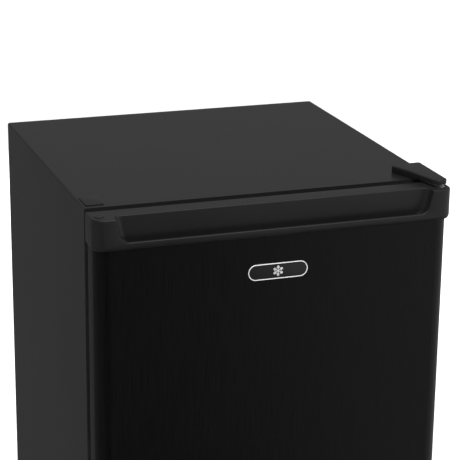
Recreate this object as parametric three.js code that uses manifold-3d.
// An under-counter mini fridge: a foamed steel cabinet with an ice box, a compressor bay at the rear, and a
// door hung on two pins at its right-hand side. Millimetres, +Z up, the door faces -Y.
//
// Everything is modelled in the cabinet's own frame, where y = 0 is the front plane of the cabinet and
// z = 0 is the floor. The last section moves the whole fridge so that the origin lies under its middle.

import * as THREE from 'three';
import { mergeVertices } from 'three/addons/utils/BufferGeometryUtils.js';
import Module from 'manifold-3d';

const wasm = await Module();
wasm.setup();

// ---------------------------------------------------------------- driving dimensions

const cabinet = { width: 500, depth: 465, top: 840, bottom: 14 };
const sheet = 1; // sheet steel
const skin = 2; // vacuum-formed plastic
const gap = 0.3; // left between pieces that touch

const half = cabinet.width / 2;
const inside = half - sheet - gap; // half the width between the side sheets

// The compressor bay is cut out of the rear bottom corner, and the cavity's floor steps up over it.
const bay = { front: cabinet.depth - 150, top: 190 };
const cavity = { half: half - 42, floor: 62, ceiling: cabinet.top - 44, back: cabinet.depth - 44 };
const step = { front: bay.front - 32, top: bay.top + 34 };

// The door stands off the cabinet by the thickness of its gasket.
const door = { half: half + 2, front: -57, rear: -13, bottom: 28, top: cabinet.top - 0.5 };
const panel = { half: door.half - 3, front: door.front + 3, radius: 20 };
const cap = { top: 42.5, bottom: 30, radius: 15 };
const linerPlate = { front: door.rear + gap, rear: -11 };
const capLine = { upper: door.top - cap.top, lower: door.bottom + cap.bottom };

// The finger recess in the top cap: open to the top and the front, with a trough behind a lip.
const grip = {
  half: 222,
  back: -41,
  lip: door.top - 32.5,
  floor: door.top - 39.5,
  lipThickness: 3.5,
  taper: 7,
  radius: 13,
  rearRadius: 9,
};

// The hinge axis is vertical, close to the door's right side.
const pin = { x: door.half - 12, y: -38, radius: 4, sleeve: 6.5 };
const bushBore = pin.radius + 0.5;

const iceBox = { left: -200, right: 120, front: 152, back: 412, bottom: 668, top: 788 };
const iceFrame = { front: 142, rear: iceBox.front - gap, border: 6 };
const tray = { left: -196, right: 108, front: 146, back: 404, bottom: 640, top: 661 };
const shelfTops = { lower: 330, upper: 490 };
const ledgeTops = [330, 410, 490, 570];
const ledge = { reach: 8, height: 9, front: 114, back: 408 };

const thermostat = { left: 134, front: 150, back: 290, bottom: 716, knobX: 170, knobZ: 756, knobRadius: 17 };

const rails = { inner: 176, outer: 190, rear: 22, bottom: 76, top: 745 };
const bins = {
  lower: { bottom: 100, height: 90, rear: 84 },
  middle: { bottom: 380, height: 70, rear: 80 },
  upper: { bottom: 650, height: 50, rear: 40 },
};
const bin = { half: 172, front: linerPlate.rear + 0.5, wall: 2.2 };

const gasket = { outerHalf: 236, width: 14, bottom: 36, top: 826 };

const compressor = { x: 70, y: 388, radius: 60, plate: 28, top: 168 };
const coil = { half: 185, y: 478, top: 780, pitch: 54, runs: 11, radius: 2.4 };
const wires = {
  count: 20,
  half: 176,
  front: coil.y + coil.radius + gap,
  thickness: 1.6,
  bottom: 213,
  top: 807,
};
const rearmost = wires.front + wires.thickness + 0.7;

const foot = { x: 205, frontY: 35, rearY: 442, radius: 17, stud: 4 };

// ---------------------------------------------------------------- finishes: colour, roughness, metalness

const finishes = {
  cabinetPaint: [0x1d1d1e, 0.62, 0.1],
  doorSteel: [0x0b0b0c, 0.3, 0.55],
  blackPlastic: [0x1a1a1b, 0.55, 0],
  whitePlastic: [0xf1f2f0, 0.4, 0],
  clearPlastic: [0xdfe8ea, 0.2, 0],
  foam: [0xe3d9a8, 0.95, 0],
  galvanised: [0xa9adb0, 0.45, 0.85],
  steel: [0x8d9092, 0.35, 0.9],
  aluminium: [0xc9ccce, 0.4, 0.9],
  glass: [0xcfe0dc, 0.08, 0],
  rubber: [0x161616, 0.85, 0],
  gasketVinyl: [0x2a2a2b, 0.7, 0],
  compressorPaint: [0x141414, 0.35, 0.3],
  copper: [0xb06a3c, 0.35, 0.95],
  badge: [0xd8dadc, 0.3, 0.8],
};

// ---------------------------------------------------------------- solids

/** Turns a closed geometry into a solid that can be joined and cut. */
function toSolid(geometry) {
  const bare = geometry.clone();
  bare.deleteAttribute('normal');
  bare.deleteAttribute('uv');
  const merged = mergeVertices(bare);
  const vertProperties = new Float32Array(merged.attributes.position.array);
  const triVerts = new Uint32Array(merged.index.array);
  return new wasm.Manifold(new wasm.Mesh({ numProp: 3, vertProperties, triVerts }));
}

/** Turns a solid back into a geometry. */
function toGeometry(solid) {
  const mesh = solid.getMesh();
  const geometry = new THREE.BufferGeometry();
  geometry.setAttribute('position', new THREE.BufferAttribute(mesh.vertProperties, 3));
  geometry.setIndex(new THREE.BufferAttribute(mesh.triVerts, 1));
  geometry.computeVertexNormals();
  return geometry;
}

function cut(base, ...tools) {
  return toGeometry(tools.reduce((solid, tool) => solid.subtract(toSolid(tool)), toSolid(base)));
}

function join(base, ...others) {
  return toGeometry(others.reduce((solid, other) => solid.add(toSolid(other)), toSolid(base)));
}

/** A box between its lowest and highest corners. */
function box([x0, y0, z0], [x1, y1, z1]) {
  const geometry = new THREE.BoxGeometry(x1 - x0, y1 - y0, z1 - z0);
  return geometry.translate((x0 + x1) / 2, (y0 + y1) / 2, (z0 + z1) / 2);
}

function extrude(shape, depth, curveSegments = 4) {
  return new THREE.ExtrudeGeometry(shape, { depth, bevelEnabled: false, curveSegments });
}

/** A plan outline (x, y) raised from z0 to z1. */
function raise(shape, z0, z1, curveSegments) {
  return extrude(shape, z1 - z0, curveSegments).translate(0, 0, z0);
}

/** A front outline (x, z) carried back from y0 to y1. */
function carryBack(shape, y0, y1, curveSegments) {
  return extrude(shape, y1 - y0, curveSegments).rotateX(Math.PI / 2).translate(0, y1, 0);
}

/** A side outline (y, z) carried across from x0 to x1. */
function carryAcross(shape, x0, x1) {
  const turn = new THREE.Matrix4().makeBasis(
    new THREE.Vector3(0, 1, 0),
    new THREE.Vector3(0, 0, 1),
    new THREE.Vector3(1, 0, 0),
  );
  return extrude(shape, x1 - x0).applyMatrix4(turn).translate(x0, 0, 0);
}

function outline(points) {
  return new THREE.Shape(points.map(([u, v]) => new THREE.Vector2(u, v)));
}

/** A rectangle with rounded corners. */
function roundedRectangle(u0, v0, u1, v1, radius) {
  const shape = new THREE.Shape();
  shape.absarc(u1 - radius, v0 + radius, radius, -Math.PI / 2, 0);
  shape.absarc(u1 - radius, v1 - radius, radius, 0, Math.PI / 2);
  shape.absarc(u0 + radius, v1 - radius, radius, Math.PI / 2, Math.PI);
  shape.absarc(u0 + radius, v0 + radius, radius, Math.PI, Math.PI * 1.5);
  return shape;
}

/** A solid of revolution about a vertical axis at (x, y), from (radius, height) points. */
function turned(x, y, profile, segments = 16) {
  const points = profile.map(([radius, height]) => new THREE.Vector2(radius, height));
  return new THREE.LatheGeometry(points, segments).rotateX(Math.PI / 2).translate(x, y, 0);
}

function post(x, y, z0, z1, radius, segments = 16) {
  return turned(x, y, [[0, z0], [radius, z0], [radius, z1], [0, z1]], segments);
}

function sleeve(x, y, z0, z1, outer, inner) {
  return turned(x, y, [[inner, z0], [outer, z0], [outer, z1], [inner, z1], [inner, z0]]);
}

/** A curve that runs straight between its points, which are spaced evenly in its parameter. */
class Route extends THREE.Curve {
  constructor(points) {
    super();
    this.points = points;
  }

  getPoint(t, target = new THREE.Vector3()) {
    const place = t * (this.points.length - 1);
    const index = Math.min(Math.floor(place), this.points.length - 2);
    return target.lerpVectors(this.points[index], this.points[index + 1], place - index);
  }

  getPointAt(u, target) {
    return this.getPoint(u, target);
  }

  getTangentAt(u, target) {
    return this.getTangent(u, target);
  }
}

/** The points of a pipe run with each of its corners bent to a curve. */
function bend(corners, radius, segments = 4) {
  const points = corners.map((corner) => new THREE.Vector3(...corner));
  const route = [points[0]];
  for (let index = 1; index < points.length - 1; index += 1) {
    const corner = points[index];
    const before = points[index - 1].clone().sub(corner).setLength(radius).add(corner);
    const after = points[index + 1].clone().sub(corner).setLength(radius).add(corner);
    route.push(...new THREE.QuadraticBezierCurve3(before, corner, after).getPoints(segments));
  }
  route.push(points[points.length - 1]);
  return route;
}

function pipe(points, radius, sides = 8) {
  const section = new THREE.Shape();
  section.absarc(0, 0, radius, 0, Math.PI * 2);
  const extrudePath = new Route(points);
  const settings = { steps: points.length - 1, extrudePath, bevelEnabled: false, curveSegments: sides / 2 };
  return new THREE.ExtrudeGeometry(section, settings);
}

// ---------------------------------------------------------------- the assembly

const fridge = new THREE.Group();

function add(name, geometry, [color, roughness, metalness]) {
  const mesh = new THREE.Mesh(geometry, new THREE.MeshStandardMaterial({ color, roughness, metalness }));
  mesh.name = name;
  fridge.add(mesh);
}

// ---------------------------------------------------------------- cabinet

/** An upside-down U in the front view: the folded sheet over the top and down both sides. */
function archOutline(thickness, radius) {
  const { top, bottom } = cabinet;
  const shape = new THREE.Shape();
  shape.moveTo(half - thickness, bottom);
  shape.lineTo(half, bottom);
  shape.absarc(half - radius, top - radius, radius, 0, Math.PI / 2);
  shape.absarc(-half + radius, top - radius, radius, Math.PI / 2, Math.PI);
  shape.lineTo(-half, bottom);
  shape.lineTo(-half + thickness, bottom);
  shape.lineTo(-half + thickness, top - thickness);
  shape.lineTo(half - thickness, top - thickness);
  return shape;
}

/** The cavity in the side view, with its step, grown outwards by a margin. */
function cavityOutline(front, margin) {
  return outline([
    [front, cavity.floor - margin],
    [step.front + margin, cavity.floor - margin],
    [step.front + margin, step.top - margin],
    [cavity.back + margin, step.top - margin],
    [cavity.back + margin, cavity.ceiling + margin],
    [front, cavity.ceiling + margin],
  ]);
}

function addShell() {
  const cornerRadius = 3;
  const wrap = carryBack(archOutline(sheet, cornerRadius), 0, cabinet.depth);
  const frontFlange = carryBack(archOutline(20, cornerRadius), 0, sheet);
  add('outer_shell', join(wrap, frontFlange), finishes.cabinetPaint);

  const panelRear = cabinet.depth - gap;
  const backPanel = box(
    [-inside, panelRear - sheet, bay.top],
    [inside, panelRear, cabinet.top - sheet - gap],
  );
  add('back_panel', backPanel, finishes.galvanised);

  const bayPanel = carryAcross(outline([
    [bay.front, cabinet.bottom + 2],
    [bay.front + sheet, cabinet.bottom + 2],
    [bay.front + sheet, bay.top - sheet - gap],
    [cabinet.depth - 2, bay.top - sheet - gap],
    [cabinet.depth - 2, bay.top - gap],
    [bay.front, bay.top - gap],
  ]), -inside, inside);
  add('bay_panel', bayPanel, finishes.galvanised);
}

/** The steel base: a flat pan whose front edge is folded up into the cabinet's front rail. */
function addBasePan() {
  const { bottom } = cabinet;
  const panThickness = 1.5;
  const railTop = cavity.floor - 20;
  const pan = box([-inside, 0, bottom], [inside, cabinet.depth - 2, bottom + panThickness]);
  const rail = box([-half + 20 + gap, 0, bottom], [half - 20 - gap, sheet, railTop]);
  const cornerCuts = [-1, 1].map((side) => box(
    [side * half - 21, -1, bottom - 1],
    [side * half + 21, sheet + gap, bottom + 3],
  ));
  const studHoles = [-1, 1].map((side) => (
    post(side * foot.x, foot.frontY, bottom - 1, bottom + 3, foot.stud + 0.8)));
  add('base_pan', cut(join(pan, rail), ...cornerCuts, ...studHoles), finishes.cabinetPaint);
}

function addFoam() {
  const front = 1.5 + 2 * gap;
  const bottom = cabinet.bottom + 1.5 + gap;
  const rear = cabinet.depth - sheet - 2 * gap;
  const body = carryAcross(outline([
    [front, bottom],
    [bay.front - gap, bottom],
    [bay.front - gap, bay.top],
    [rear, bay.top],
    [rear, cabinet.top - sheet - gap],
    [front, cabinet.top - sheet - gap],
  ]), -inside, inside);
  const hollowHalf = cavity.half + skin + gap;
  const hollow = carryAcross(cavityOutline(-1, skin + gap), -hollowHalf, hollowHalf);
  const studPockets = [-1, 1].map((side) => box(
    [side * foot.x - 12, foot.frontY - 12, bottom - 1],
    [side * foot.x + 12, foot.frontY + 12, bottom + 16],
  ));
  add('cabinet_foam', cut(body, hollow, ...studPockets), finishes.foam);
}

/** The white inner liner: the stepped cavity, its front flange, the shelf ledges and the left tray rail. */
function addLiner() {
  const flangeHalf = half - 20 - gap;
  const flangeBottom = cavity.floor - 20 + gap;
  const flange = box([-flangeHalf, 0, flangeBottom], [flangeHalf, 1.5, cabinet.top - 20 - gap]);
  const wallHalf = cavity.half + skin;
  const walls = carryAcross(cavityOutline(0, skin), -wallHalf, wallHalf);
  const hollow = carryAcross(cavityOutline(-1, 0), -cavity.half, cavity.half);
  const ledges = [-1, 1].flatMap((side) => ledgeTops.map((top) => {
    const wall = side * (cavity.half + 1);
    const edge = side * (cavity.half - ledge.reach);
    return box(
      [Math.min(wall, edge), ledge.front, top - ledge.height],
      [Math.max(wall, edge), ledge.back, top],
    );
  }));
  const trayRail = box(
    [-cavity.half - 1, tray.front + 8, tray.top - 13],
    [tray.left - gap, tray.back, tray.top - 3 - gap],
  );
  const shell = cut(join(flange, walls), hollow);
  add('inner_liner', join(shell, ...ledges, trayRail), finishes.whitePlastic);
}

// ---------------------------------------------------------------- hinges

/** The plan outline of the upper hinge: a broad foot on the cabinet that narrows to the pin. */
function hingeOutline(margin, tipRadius) {
  const right = half - 1;
  const shape = new THREE.Shape();
  shape.moveTo(right - 44 - margin, 40 + margin);
  shape.lineTo(right - 32 - margin, 6);
  shape.absarc(pin.x - 1, pin.y, tipRadius, Math.PI * 1.08, Math.PI * 2);
  shape.lineTo(right, pin.y + 10);
  shape.lineTo(right, 46 + margin);
  shape.lineTo(right - 16, 46 + margin);
  return shape;
}

function addUpperHinge() {
  const seat = cabinet.top + gap;
  const plateTop = seat + 2.2;
  const screws = [[half - 27, 33], [half - 13, 15]];
  const pinHole = post(pin.x, pin.y, seat - 1, plateTop + 1, pin.radius + 0.4);
  const plate = raise(hingeOutline(-3, 6.6), seat, plateTop, 3);
  const screwHoles = screws.map(([x, y]) => post(x, y, seat - 1, plateTop + 1, 3, 8));
  add('upper_hinge_bracket', cut(plate, pinHole, ...screwHoles), finishes.steel);

  const headTop = plateTop + 2;
  add('upper_hinge_pin', turned(pin.x, pin.y, [
    [0, door.top - 18],
    [pin.radius - 1, door.top - 18],
    [pin.radius, door.top - 17],
    [pin.radius, plateTop + gap],
    [5, plateTop + gap],
    [5, headTop],
    [0, headTop],
  ]), finishes.steel);

  screws.forEach(([x, y], index) => {
    add(`upper_hinge_screw_${index + 1}`, turned(x, y, [
      [0, seat + 0.2],
      [2.5, seat + 0.2],
      [2.5, plateTop + gap],
      [5, plateTop + gap],
      [5, plateTop + 3],
      [0, plateTop + 3],
    ], 12), finishes.steel);
  });

  const coverTop = cabinet.top + 10;
  const outer = raise(hingeOutline(1, 9), seat, coverTop, 4);
  const hollow = raise(hingeOutline(-1, 7), seat - 1, coverTop - 1.6, 3);
  const doorClearance = box(
    [half - 60, pin.y - 20, seat - 1],
    [half + 10, linerPlate.rear + 4, plateTop + 1],
  );
  add('hinge_cover', cut(outer, hollow, doorClearance), finishes.blackPlastic);
}

/** The blanking pieces for hanging the door the other way round. */
function addBlanks() {
  const coverOutline = roundedRectangle(-half + 5, 10, -half + 30, 48, 2);
  const coverPlate = raise(coverOutline, cabinet.top + gap, cabinet.top + 1.6, 2);
  add('hinge_hole_cover', coverPlate, finishes.cabinetPaint);

  add('hinge_hole_plug', turned(-pin.x, pin.y, [
    [0, door.top - 12],
    [5, door.top - 12],
    [5, door.top + gap],
    [6.5, door.top + gap],
    [6.5, door.top + 0.7],
    [6, door.top + 0.9],
    [0, door.top + 0.9],
  ]), finishes.blackPlastic);
}

function addLowerHinge() {
  const armBottom = 17.5;
  const armTop = 20.5;
  const leg = box([180, -2.5 - gap, 14.5], [half - 1, -gap, 27]);
  const arm = raise(roundedRectangle(half - 28, pin.y - 10, half - 1, -gap, 5), armBottom, armTop, 3);
  const pinHole = post(pin.x, pin.y, armBottom - 1, armTop + 1, pin.radius + 0.4);
  add('lower_hinge_bracket', cut(join(leg, arm), pinHole), finishes.steel);

  add('lower_hinge_pin', turned(pin.x, pin.y, [
    [0, armBottom],
    [pin.radius, armBottom],
    [pin.radius, armTop + gap],
    [7, armTop + gap],
    [7, armTop + 3],
    [pin.radius, armTop + 3],
    [pin.radius, door.bottom + 17],
    [pin.radius - 1, door.bottom + 18],
    [0, door.bottom + 18],
  ]), finishes.steel);

  [190, 212].forEach((x, index) => {
    const head = new THREE.CylinderGeometry(4.5, 4.5, 2.6, 12).translate(x, -2.5 - 2 * gap - 1.3, 21);
    add(`lower_hinge_screw_${index + 1}`, head, finishes.steel);
  });
}

// ---------------------------------------------------------------- door

/** The cap's plan: square at the rear, with the front corners rounded. */
function capOutline() {
  const shape = new THREE.Shape();
  shape.moveTo(door.half, door.rear);
  shape.lineTo(-door.half, door.rear);
  shape.absarc(-door.half + cap.radius, door.front + cap.radius, cap.radius, Math.PI, Math.PI * 1.5);
  shape.absarc(door.half - cap.radius, door.front + cap.radius, cap.radius, -Math.PI / 2, 0);
  return shape;
}

/** The folded door skin in plan: the front, both sides and the narrow returns behind them. */
function skinOutline() {
  const { half: side, front, radius } = panel;
  const rear = door.rear - gap;
  const returnEdge = side - 10;
  const shape = new THREE.Shape();
  shape.moveTo(returnEdge, rear);
  shape.lineTo(side, rear);
  shape.absarc(side - radius, front + radius, radius, 0, -Math.PI / 2, true);
  shape.absarc(-side + radius, front + radius, radius, -Math.PI / 2, -Math.PI, true);
  shape.lineTo(-side, rear);
  shape.lineTo(-returnEdge, rear);
  shape.lineTo(-returnEdge, rear - sheet);
  shape.lineTo(-side + sheet, rear - sheet);
  shape.absarc(-side + radius, front + radius, radius - sheet, -Math.PI, -Math.PI / 2);
  shape.absarc(side - radius, front + radius, radius - sheet, -Math.PI / 2, 0);
  shape.lineTo(side - sheet, rear - sheet);
  shape.lineTo(returnEdge, rear - sheet);
  return shape;
}

/** The finger recess down to its lip: narrower at its foot and rounded at its rear corners. */
function gripRecess() {
  const { half: side, taper, radius, back, rearRadius, lip } = grip;
  const top = door.top + 1;
  const narrow = side - taper;
  const shoulder = narrow + (taper * radius) / (top - lip);
  const shape = new THREE.Shape();
  shape.moveTo(side, top);
  shape.lineTo(-side, top);
  shape.lineTo(-shoulder, lip + radius);
  shape.quadraticCurveTo(-narrow, lip, -narrow + radius, lip);
  shape.lineTo(narrow - radius, lip);
  shape.quadraticCurveTo(narrow, lip, shoulder, lip + radius);
  const hollow = carryBack(shape, door.front - 1, back);
  const plan = raise(roundedRectangle(-side, door.front - 30, side, back, rearRadius), lip - 1, top + 1);
  return toGeometry(toSolid(hollow).intersect(toSolid(plan)));
}

function addTopCap() {
  const body = raise(capOutline(), capLine.upper, door.top);
  const troughHalf = grip.half - grip.taper - grip.radius;
  const trough = box(
    [-troughHalf, door.front + grip.lipThickness, grip.floor],
    [troughHalf, grip.back, grip.lip + 1],
  );
  const foamPocket = box(
    [-grip.half, grip.back + 3, capLine.upper - 1],
    [grip.half, door.rear - 2.5, door.top - 4],
  );
  const bushHole = post(pin.x, pin.y, door.top - 21, door.top + 1, pin.sleeve + gap);
  const plugHole = post(-pin.x, pin.y, door.top - 13, door.top + 1, 5.3);
  add('door_top_cap', cut(body, gripRecess(), trough, foamPocket, bushHole, plugHole), finishes.blackPlastic);
  const bush = sleeve(pin.x, pin.y, door.top - 20.5, door.top - 0.2, pin.sleeve, bushBore);
  add('hinge_bush_upper', bush, finishes.whitePlastic);
}

function addBottomCap() {
  const body = raise(capOutline(), door.bottom, capLine.lower);
  const foamPocket = box(
    [-grip.half, panel.front + 3, door.bottom + 3],
    [grip.half, door.rear - 3, capLine.lower + 1],
  );
  const bushHole = post(pin.x, pin.y, door.bottom - 1, door.bottom + 22, pin.sleeve + gap);
  add('door_bottom_cap', cut(body, foamPocket, bushHole), finishes.blackPlastic);

  const flangeBottom = door.bottom - 2;
  add('hinge_bush_lower', turned(pin.x, pin.y, [
    [bushBore, flangeBottom],
    [9, flangeBottom],
    [9, door.bottom - gap],
    [pin.sleeve, door.bottom - gap],
    [pin.sleeve, door.bottom + 21],
    [bushBore, door.bottom + 21],
    [bushBore, flangeBottom],
  ]), finishes.whitePlastic);
}

function addDoorBody() {
  const low = capLine.lower + gap;
  const high = capLine.upper - gap;
  add('door_skin', raise(skinOutline(), low, high), finishes.doorSteel);

  const edge = sheet + gap;
  const foamHalf = panel.half - edge;
  const foamRear = door.rear - sheet - 2 * gap;
  const block = new THREE.Shape();
  block.moveTo(foamHalf, foamRear);
  block.lineTo(-foamHalf, foamRear);
  const bendX = panel.half - panel.radius;
  const bendY = panel.front + panel.radius;
  block.absarc(-bendX, bendY, panel.radius - edge, Math.PI, Math.PI * 1.5);
  block.absarc(bendX, bendY, panel.radius - edge, -Math.PI / 2, 0);
  const tongueHalf = grip.half - gap;
  const upperTongue = box(
    [-tongueHalf, grip.back + 3 + gap, high - 1],
    [tongueHalf, door.rear - 2.5 - gap, door.top - 4 - gap],
  );
  const lowerTongue = box(
    [-tongueHalf, panel.front + 3 + gap, door.bottom + 3 + gap],
    [tongueHalf, door.rear - 3 - gap, low + 1],
  );
  add('door_foam', join(raise(block, low, high), upperTongue, lowerTongue), finishes.foam);
}

/** The white plate inside the door, with the two moulded uprights that carry the bins on small lugs. */
function addDoorLiner() {
  const plate = box(
    [-panel.half + 2, linerPlate.front, door.bottom + 5],
    [panel.half - 2, linerPlate.rear, door.top - 6],
  );
  const uprights = [-1, 1].map((side) => box(
    [Math.min(side * rails.inner, side * rails.outer), linerPlate.rear - 1, rails.bottom],
    [Math.max(side * rails.inner, side * rails.outer), rails.rear, rails.top],
  ));
  const lugs = [-1, 1].flatMap((side) => Object.values(bins).map(({ bottom }) => box(
    [Math.min(side * (rails.inner - 12), side * (rails.inner + 1)), 2, bottom - 9],
    [Math.max(side * (rails.inner - 12), side * (rails.inner + 1)), 16, bottom - gap],
  )));
  add('door_liner', join(plate, ...uprights, ...lugs), finishes.whitePlastic);
}

function addGasket() {
  const { outerHalf, width, bottom, top } = gasket;
  const ring = roundedRectangle(-outerHalf, bottom, outerHalf, top, 4);
  ring.holes.push(roundedRectangle(-outerHalf + width, bottom + width, outerHalf - width, top - width, 4));
  add('door_gasket', carryBack(ring, linerPlate.rear + gap, -gap, 2), finishes.gasketVinyl);
}

function addBadge() {
  const centre = door.top - 92;
  const plate = roundedRectangle(-42, centre - 11, 42, centre + 11, 10.9);
  add('badge', carryBack(plate, panel.front - gap - 1.2, panel.front - gap, 6), finishes.badge);
}

/** A bin is a tray with an open top. */
function addBin(name, { bottom, height, rear }) {
  const { half: side, front, wall } = bin;
  const body = box([-side, front, bottom], [side, rear, bottom + height]);
  const hollow = box(
    [-side + wall, front + wall, bottom + wall],
    [side - wall, rear - wall, bottom + height + 1],
  );
  add(name, cut(body, hollow), finishes.clearPlastic);
}

// ---------------------------------------------------------------- ice box, tray, thermostat and shelves

function addIceBox() {
  const { left, right, front, back, bottom, top } = iceBox;
  const metal = 2;
  const body = box([left, front, bottom], [right, back, top]);
  const hollow = box([left + metal, front - 1, bottom + metal], [right - metal, back - metal, top - metal]);
  add('ice_box', cut(body, hollow), finishes.aluminium);

  const { border } = iceFrame;
  const stop = iceFrame.front + 5.3;
  const frame = box([left - 4, iceFrame.front, bottom - 4], [right + 4, iceFrame.rear, cavity.ceiling - gap]);
  const opening = box(
    [left + border, iceFrame.front - 1, bottom + border],
    [right - border, iceFrame.rear + 1, top - border],
  );
  // The lip stops short of the top, where the flap turns on its pivot.
  const lipTop = top - border - 14;
  const lipLeft = box([left + border - 1, stop, bottom], [left + 2 * border, iceFrame.rear, lipTop]);
  const lipRight = box([right - 2 * border, stop, bottom], [right - border + 1, iceFrame.rear, lipTop]);
  const lipBottom = box([left, stop, bottom], [right, iceFrame.rear, bottom + 2 * border]);
  add('ice_box_frame', join(cut(frame, opening), lipLeft, lipRight, lipBottom), finishes.whitePlastic);
}

/** The flap hangs from two pins at its top corners and shuts against the frame's lip. */
function addIceFlap() {
  const clearance = 1.2;
  const left = iceBox.left + iceFrame.border + clearance;
  const right = iceBox.right - iceFrame.border - clearance;
  const bottom = iceBox.bottom + iceFrame.border + clearance;
  const top = iceBox.top - iceFrame.border - 3;
  const front = iceFrame.front + 1;
  const board = box([left, front, bottom], [right, front + 4, top]);
  const middle = (left + right) / 2;
  const fingerLip = carryAcross(outline([
    [front - 7, bottom + 6],
    [front + 1, bottom + 3],
    [front + 1, bottom + 12],
    [front - 7, bottom + 9],
  ]), middle - 40, middle + 40);
  add('ice_flap', join(board, fingerLip), finishes.clearPlastic);
}

function addTray() {
  const { left, right, front, back, bottom, top } = tray;
  const wall = 2;
  const body = box([left, front, bottom], [right, back, top]);
  const flanges = box([left - 4.5, front + 10, top - 3], [right + 4.5, back, top]);
  const pull = box([left + 90, front - 6, top - 9], [right - 90, front + 1, top]);
  const hollow = box([left + wall, front + wall, bottom + wall], [right - wall, back - wall, top + 1]);
  add('drip_tray', cut(join(body, flanges, pull), hollow), finishes.whitePlastic);

  const rail = carryBack(outline([
    [right + gap, top - 3 - gap],
    [right + gap, top - 11],
    [iceBox.right - 2, top - 11],
    [iceBox.right - 2, iceBox.bottom - gap],
    [iceBox.right - 5, iceBox.bottom - gap],
    [iceBox.right - 5, top - 3 - gap],
  ]), iceBox.front, iceBox.back);
  add('tray_rail', rail, finishes.whitePlastic);
}

function addThermostat() {
  const { left, front, back, bottom, knobX, knobZ, knobRadius } = thermostat;
  const wall = 2;
  const ceiling = cavity.ceiling - gap;
  const sideView = outline([
    [front, bottom + 10],
    [front + 10, bottom],
    [back, bottom],
    [back, ceiling],
    [front, ceiling],
  ]);
  const innerView = outline([
    [front + wall, bottom + 11],
    [front + 11, bottom + wall],
    [back - wall, bottom + wall],
    [back - wall, ceiling + 1],
    [front + wall, ceiling + 1],
  ]);
  const housingRight = cavity.half - gap;
  const body = carryAcross(sideView, left, housingRight);
  const hollow = carryAcross(innerView, left + wall, housingRight - wall);
  const shaftHole = new THREE.CylinderGeometry(4, 4, 8, 12).translate(knobX, front, knobZ);
  add('thermostat_housing', cut(body, hollow, shaftHole), finishes.whitePlastic);

  const knobLength = 13;
  const disc = new THREE.CylinderGeometry(knobRadius, knobRadius - 1.5, knobLength - 5, 24)
    .translate(knobX, front - gap - (knobLength - 5) / 2, knobZ);
  const shaft = new THREE.CylinderGeometry(3, 3, 8, 12).translate(knobX, front, knobZ);
  const pointer = box([knobX - 3, front - gap - knobLength, knobZ - 14], [knobX + 3, front - 6, knobZ + 14]);
  add('thermostat_knob', join(disc, shaft, pointer), finishes.whitePlastic);

  const side = iceBox.right + 2;
  add('sensing_tube', pipe(bend([
    [left - gap, 200, 762],
    [side + 5, 200, 762],
    [side, 215, 740],
    [side, 250, 728],
    [side, 380, 728],
  ], 4), 1.3, 6), finishes.copper);
}

function addShelf(name, top) {
  const low = top + gap;
  const high = low + 4;
  const side = cavity.half - 3;
  const trimFront = ledge.front - 15;
  const glassFront = trimFront + 8;
  add(`shelf_${name}`, box([-side, glassFront, low], [side, ledge.back, high]), finishes.glass);
  const bar = box([-side, trimFront, low - 4], [side, ledge.front - gap, high + 3]);
  const slot = box([-side - 1, glassFront - gap, low - gap], [side + 1, ledge.front + 1, high + gap]);
  add(`shelf_${name}_trim`, cut(bar, slot), finishes.clearPlastic);
}

// ---------------------------------------------------------------- refrigeration at the rear

function addCompressor() {
  const { x, y, radius, plate, top } = compressor;
  const can = turned(x, y, [
    [0, plate + 1],
    [radius - 14, plate + 1],
    [radius - 3, plate + 9],
    [radius - 2, 86],
    [radius, 87],
    [radius, 93],
    [radius - 2, 94],
    [radius - 3, top - 32],
    [radius - 12, top - 14],
    [radius - 32, top - 3],
    [0, top],
  ], 24);
  const feetPlate = box([x - 84, y - 50, plate], [x + 84, y + 50, plate + 3]);
  add('compressor', join(can, feetPlate), finishes.compressorPaint);

  const mountPlaces = [[-72, -38], [72, -38], [-72, 38], [72, 38]];
  mountPlaces.forEach(([dx, dy], index) => {
    const low = cabinet.bottom + 1.5 + gap;
    const profile = [[0, low], [10, low], [7, low + 6], [9, plate - gap], [0, plate - gap]];
    add(`compressor_mount_${index + 1}`, turned(x + dx, y + dy, profile, 12), finishes.rubber);
  });

  const boxRight = x - radius - gap;
  const cover = box([boxRight - 38, y - 24, 66], [boxRight, y + 24, 122]);
  add('terminal_cover', cover, finishes.blackPlastic);
}

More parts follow.
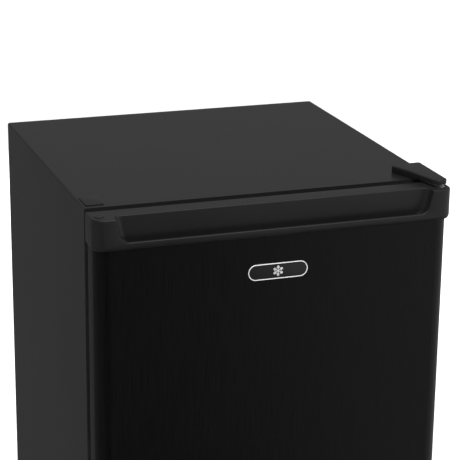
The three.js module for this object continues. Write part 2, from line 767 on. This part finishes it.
/** The condenser: one long tube folded into level runs, with wires across its rear. */
function addCondenser() {
  const { half: side, y, top, pitch, runs, radius } = coil;
  const points = [];
  for (let run = 0; run < runs; run += 1) {
    const z = top - run * pitch;
    const heading = run % 2 === 0 ? -1 : 1;
    points.push(new THREE.Vector3(-heading * side, y, z));
    if (run === runs - 1) {
      break;
    }
    const bendSteps = 6;
    for (let stepIndex = 0; stepIndex < bendSteps; stepIndex += 1) {
      const angle = (Math.PI * stepIndex) / bendSteps;
      const reach = side + (pitch / 2) * Math.sin(angle);
      points.push(new THREE.Vector3(heading * reach, y, z - (pitch / 2) * (1 - Math.cos(angle))));
    }
  }
  const lowest = top - (runs - 1) * pitch;
  const tail = bend([
    [-side, y, lowest],
    [-side - 20, y, lowest],
    [-side - 20, y, 168],
    [-170, 440, 158],
    [-170, 440, 131 + gap],
  ], 8);
  add('condenser_tube', pipe([...points, ...tail], radius, 6), finishes.compressorPaint);

  const { count, half: reach, front, thickness, bottom, top: wireTop } = wires;
  const strapDepth = thickness - 0.6;
  const straps = [bottom + 4, wireTop - 10].map((z) => box(
    [-reach - 24, front + 1, z],
    [reach + 24, front + 1 + strapDepth + 0.3, z + 6],
  ));
  const rods = Array.from({ length: count }, (_, index) => {
    const x = -reach + (2 * reach * index) / (count - 1);
    return box([x - thickness / 2, front, bottom], [x + thickness / 2, front + thickness, wireTop]);
  });
  add('condenser_wires', join(straps[0], ...rods, straps[1]), finishes.compressorPaint);

  [['lower', bottom + 2], ['upper', wireTop - 12]].forEach(([name, z]) => {
    const bracket = box([-reach - 22, cabinet.depth + gap - 0.2, z], [-reach - 10, front + 1 - gap, z + 10]);
    const twin = box([reach + 10, cabinet.depth + gap - 0.2, z], [reach + 22, front + 1 - gap, z + 10]);
    const web = box([-reach - 12, cabinet.depth + gap - 0.2, z + 4], [reach + 12, cabinet.depth + 2, z + 8]);
    add(`condenser_bracket_${name}`, join(bracket, twin, web), finishes.blackPlastic);
  });
}

function addPipes() {
  add('filter_drier', turned(-170, 440, [
    [0, 60],
    [2, 60],
    [2.5, 70],
    [8, 76],
    [8, 118],
    [2.5, 124],
    [2.5, 131],
    [0, 131],
  ], 12), finishes.copper);

  const { x, y, radius } = compressor;
  const riserX = 230;
  add('discharge_line', pipe(bend([
    [x + radius + gap, y, 104],
    [x + radius + 40, y, 104],
    [riserX, y + 30, 150],
    [riserX, coil.y, 190],
    [riserX, coil.y, coil.top],
    [coil.half + gap, coil.y, coil.top],
  ], 12), 2.5, 6), finishes.copper);

  const entryX = -60;
  const outlet = cabinet.depth + 6;
  add('suction_line', pipe(bend([
    [x - radius + 2.5, y, 134],
    [x - radius - 30, y, 134],
    [entryX, y + 40, 134],
    [entryX, outlet, 168],
    [entryX, outlet, 300],
    [entryX, cabinet.depth, 300],
  ], 5), 2.8, 6), finishes.copper);

  add('capillary_tube', pipe(bend([
    [-170, 440, 60 - gap],
    [-170, 440, 44],
    [-130, 430, 44],
    [-110, 430, 120],
    [-80, outlet - 1, 168],
    [-80, outlet - 1, 290],
    [-80, cabinet.depth, 290],
  ], 4), 1.2, 6), finishes.copper);

  const block = box([-62, 444, cabinet.bottom + 1.5 + gap], [-22, cabinet.depth - 4, 52]);
  const boss = new THREE.CylinderGeometry(10, 11, 14, 16).translate(-42, cabinet.depth - 1, 34);
  const bore = new THREE.CylinderGeometry(4.5, 4.5, 30, 12).translate(-42, cabinet.depth, 34);
  add('cord_gland', cut(join(block, boss), bore), finishes.blackPlastic);
}

// ---------------------------------------------------------------- feet

function addFeet() {
  [['left', -1], ['right', 1]].forEach(([name, side]) => {
    const x = side * foot.x;
    const disc = turned(x, foot.frontY, [
      [0, 0],
      [foot.radius - 2, 0],
      [foot.radius, 2],
      [foot.radius, 8],
      [7, 10],
      [foot.stud, 10],
      [foot.stud, 28],
      [0, 28],
    ], 12);
    add(`levelling_foot_${name}`, disc, finishes.blackPlastic);
    const { rearY } = foot;
    const blockOutline = roundedRectangle(x - 16, rearY - 12, x + 16, rearY + 12, 4);
    add(`rear_foot_${name}`, raise(blockOutline, 0, cabinet.bottom - gap, 2), finishes.blackPlastic);
  });
}

// ---------------------------------------------------------------- build

addShell();
addBasePan();
addFoam();
addLiner();
addUpperHinge();
addBlanks();
addLowerHinge();
addIceBox();
addIceFlap();
addTray();
addThermostat();
Object.entries(shelfTops).forEach(([name, top]) => addShelf(name, top));
addCompressor();
addCondenser();
addPipes();
addFeet();
addTopCap();
addBottomCap();
addDoorBody();
addDoorLiner();
addGasket();
addBadge();
Object.entries(bins).forEach(([name, size]) => addBin(`door_bin_${name}`, size));

fridge.position.y = -(door.front + rearmost) / 2;

export default fridge;
